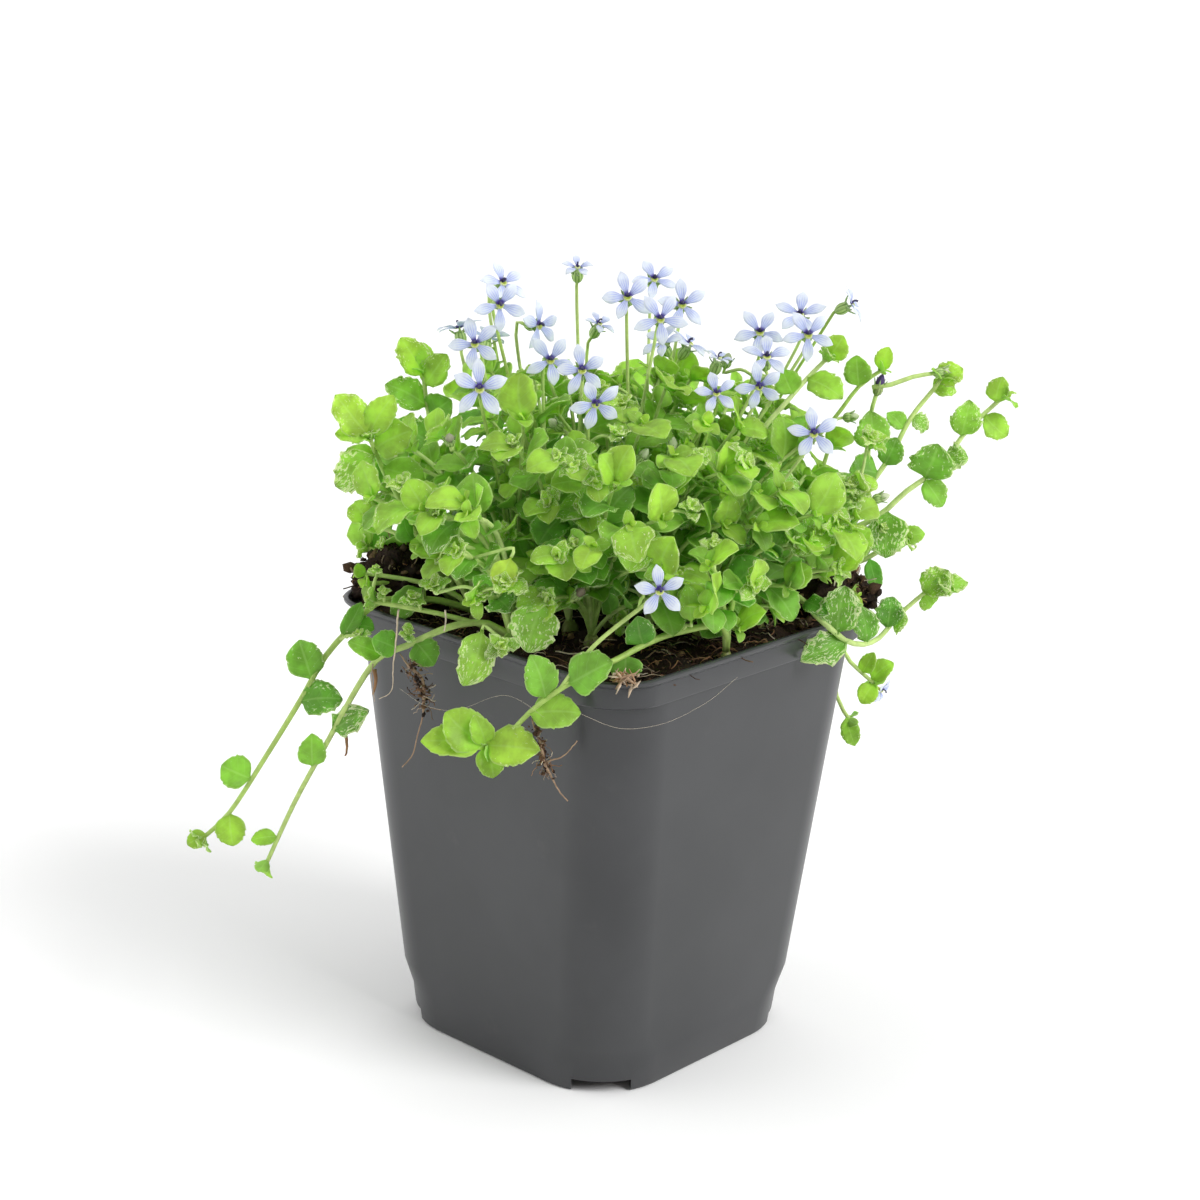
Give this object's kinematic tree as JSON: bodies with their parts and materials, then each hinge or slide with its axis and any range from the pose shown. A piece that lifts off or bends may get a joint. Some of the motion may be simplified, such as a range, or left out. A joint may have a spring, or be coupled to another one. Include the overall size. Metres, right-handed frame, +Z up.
{
  "type": "potted flowering plant",
  "caption": "Square tapered nursery pot filled with peat, carrying a mound of small-leaved creeping shoots with pale blue star flowers and a few runners that hang over the rim.",
  "frame": {"origin": "centre of the pot's underside, on the plane that it stands on", "axes": "+Z up; the pot's straight sides face +X, -X, +Y and -Y; the flowers face a corner of the pot, between -X and -Y, along (-0.742, -0.670, 0)"},
  "size_m": [0.1532, 0.1092, 0.1745],
  "materials": {
    "pot": "semi-gloss moulded plastic",
    "soil": "fibrous dark peat",
    "leaf_green": "soft matte leaf",
    "runner_green": "soft matte leaf",
    "petal_blue": "matte petal",
    "root_brown": "dry fibre"
  },
  "bodies": {
    "root": {"pot": "pot", "soil": "soil", "runner_left_upper": "runner_green", "runner_left_lower": "runner_green", "runner_front": "runner_green", "runner_right": "runner_green", "runner_back_right": "runner_green", "runner_upper_right": "runner_green", "runner_far_right": "runner_green", "runner_top_right": "runner_green", "runner_left_spray": "runner_green", "runner_left_tall": "runner_green", "runner_back_small": "runner_green", "tuft_01": "leaf_green", "tuft_02": "leaf_green", "tuft_03": "leaf_green", "tuft_04": "leaf_green", "tuft_05": "leaf_green", "tuft_06": "leaf_green", "tuft_07": "leaf_green", "tuft_08": "leaf_green", "tuft_09": "leaf_green", "tuft_10": "leaf_green", "tuft_11": "leaf_green", "tuft_12": "leaf_green", "tuft_13": "leaf_green", "tuft_14": "leaf_green", "tuft_15": "leaf_green", "tuft_16": "leaf_green", "tuft_17": "leaf_green", "bloom_01": "petal_blue", "bloom_02": "petal_blue", "bloom_03": "petal_blue", "bloom_04": "petal_blue", "bloom_05": "petal_blue", "bloom_06": "petal_blue", "bloom_07": "petal_blue", "bloom_08": "petal_blue", "bloom_09": "petal_blue", "bloom_10": "petal_blue", "bloom_11": "petal_blue", "bloom_12": "petal_blue", "bloom_13": "petal_blue", "bloom_14": "petal_blue", "bloom_15": "petal_blue", "bloom_16": "petal_blue", "bloom_17": "petal_blue", "bloom_18": "petal_blue", "bloom_19": "petal_blue", "bloom_20": "petal_blue", "bloom_21": "petal_blue", "bloom_22": "petal_blue", "bloom_23": "petal_blue", "bloom_24": "petal_blue", "bloom_25": "petal_blue", "bloom_26": "petal_blue", "bloom_27": "petal_blue", "bloom_28": "petal_blue", "root_left": "root_brown", "root_front": "root_brown"}
  },
  "joints": []
}
